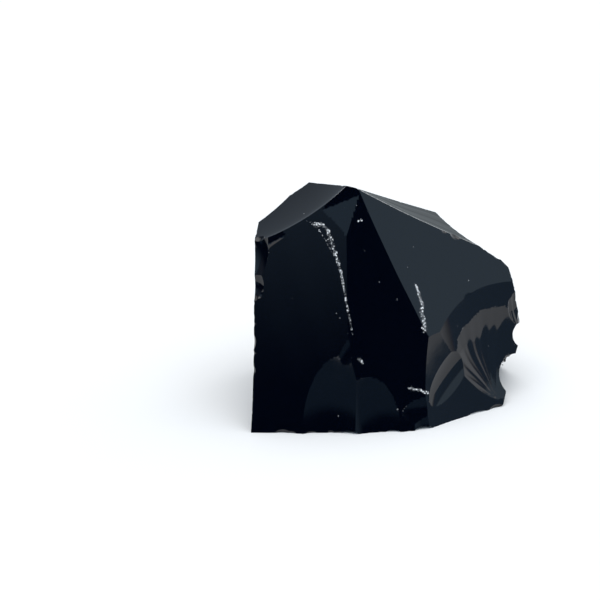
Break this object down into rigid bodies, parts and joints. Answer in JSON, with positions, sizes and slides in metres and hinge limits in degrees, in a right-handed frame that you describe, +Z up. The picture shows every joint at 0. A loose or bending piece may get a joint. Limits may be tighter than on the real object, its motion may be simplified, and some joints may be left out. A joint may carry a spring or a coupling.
{
  "type": "obsidian chunk",
  "caption": "Rough chunk of black volcanic glass with broad hollow fracture faces, sharp ridges and a flat base; rests on a shelf or table as a mineral sample.",
  "frame": {"origin": "bottom centre of the bounding box, on the surface that the chunk rests on", "axes": "+Z up, the broad front fracture faces -Y, the high peak is left of the middle and the rippled scar is at +X"},
  "size_m": [0.0785, 0.0565, 0.0649],
  "materials": {
    "obsidian": "black volcanic glass, broken surfaces left as they are, glossy, dull only along crushed edges"
  },
  "bodies": {
    "root": {"chunk": "obsidian"}
  },
  "joints": []
}
